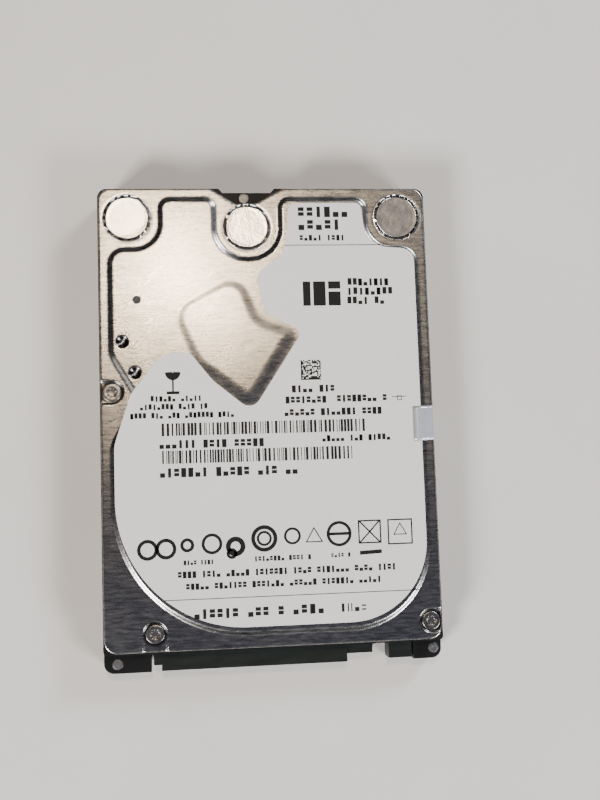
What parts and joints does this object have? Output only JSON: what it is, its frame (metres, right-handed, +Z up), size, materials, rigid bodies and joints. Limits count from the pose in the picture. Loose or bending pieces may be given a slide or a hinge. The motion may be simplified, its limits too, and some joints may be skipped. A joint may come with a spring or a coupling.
{
  "type": "hard disk drive",
  "caption": "Slim hard disk drive: cast base, pressed steel cover with label, spinning platters, swinging head arm, circuit board and edge connector.",
  "frame": {"origin": "centre of the bottom face", "axes": "+X to the right with the label up and the connector towards the viewer, +Y away from the connector end, +Z up through the label"},
  "size_m": [0.0698, 0.1002, 0.0095],
  "materials": {
    "black_casting": "satin black coat",
    "cover_steel": "fine cross-brushed",
    "screw_steel": "machined",
    "foil": "rolled foil",
    "clear_seal": "silvery film",
    "label_paper": "smooth printed film",
    "gasket_rubber": "matt",
    "filter_cloth": "felted",
    "white_plastic": "moulded",
    "disk_mirror": "polished",
    "turned_steel": "turned",
    "cast_aluminium": "machined",
    "magnet_plate": "nickel plated",
    "stator_iron": "laminated",
    "copper": "enamelled wire",
    "frame_plastic": "moulded",
    "spring_steel": "etched",
    "chip_plastic": "moulded",
    "flex_film": "polyimide film",
    "stop_rubber": "matt",
    "board": "solder mask",
    "foam": "foam",
    "component": "ceramic",
    "connector_plastic": "glass-filled",
    "gold": "plated"
  },
  "bodies": {
    "base": {"base_casting": "black_casting", "top_cover": "cover_steel", "cover_gasket": "gasket_rubber", "cover_screws": "screw_steel", "foil_seals": "foil", "side_seal": "clear_seal", "top_label": "label_paper", "breather_filter": "filter_cloth", "recirculation_filter": "filter_cloth", "desiccant": "white_plastic", "bearing_sleeve": "copper", "thrust_plate": "turned_steel", "stator_core": "stator_iron", "stator_coils": "copper", "stator_shield": "spring_steel", "pivot_shaft": "turned_steel", "yoke_bottom": "magnet_plate", "yoke_top": "magnet_plate", "magnet_bottom": "magnet_plate", "magnet_top": "magnet_plate", "yoke_posts": "turned_steel", "crash_stops": "stop_rubber", "latch_pin": "turned_steel", "load_ramp": "white_plastic", "ramp_screw": "screw_steel", "flex_bracket": "cast_aluminium", "flex_cable": "flex_film", "circuit_board": "board", "board_screws": "screw_steel", "board_insulator": "foam", "controller_chip": "chip_plastic", "memory_chip": "chip_plastic", "motor_driver_chip": "chip_plastic", "flash_chip": "chip_plastic", "small_components": "component", "head_connector": "connector_plastic", "motor_connector": "connector_plastic", "sata_housing": "connector_plastic", "sata_contacts": "gold", "jumper_header": "connector_plastic", "jumper_pins": "gold"},
    "spindle": {"lower_platter": "disk_mirror", "upper_platter": "disk_mirror", "disk_spacer": "turned_steel", "spindle_hub": "cast_aluminium", "spindle_shaft": "turned_steel", "rotor_magnet": "stator_iron", "disk_clamp": "cast_aluminium", "clamp_screw": "screw_steel"},
    "actuator": {"actuator_arm_block": "cast_aluminium", "voice_coil": "copper", "coil_frame": "frame_plastic", "suspensions": "spring_steel", "head_sliders": "chip_plastic", "preamp_chip": "chip_plastic", "pivot_sleeve": "turned_steel"},
    "ball_set": {"pivot_balls": "turned_steel"},
    "latch": {"latch_lever": "white_plastic"}
  },
  "joints": [
    {"name": "spindle_spin", "type": "hinge", "parent": "base", "child": "spindle", "pos_m": [0, -0.0095, 0.005], "axis": [0, 0, 1], "continuous": true},
    {"name": "head_swing", "type": "hinge", "parent": "base", "child": "actuator", "pos_m": [-0.011, 0.0282, 0.0061], "axis": [0, 0, 1], "range_deg": [-35.3, 0], "deforming": ["flex_cable"]},
    {"name": "ball_orbit", "type": "hinge", "parent": "base", "child": "ball_set", "pos_m": [-0.011, 0.0282, 0.0061], "axis": [0, 0, 1], "range_deg": [-20.5, 0.2]},
    {"name": "latch_turn", "type": "hinge", "parent": "base", "child": "latch", "pos_m": [-0.029, 0.023, 0.0061], "axis": [0, 0, 1], "range_deg": [-3, 10]}
  ],
  "couplings": [
    {"joint": "ball_orbit", "follows": "head_swing", "ratio": 0.5758}
  ]
}
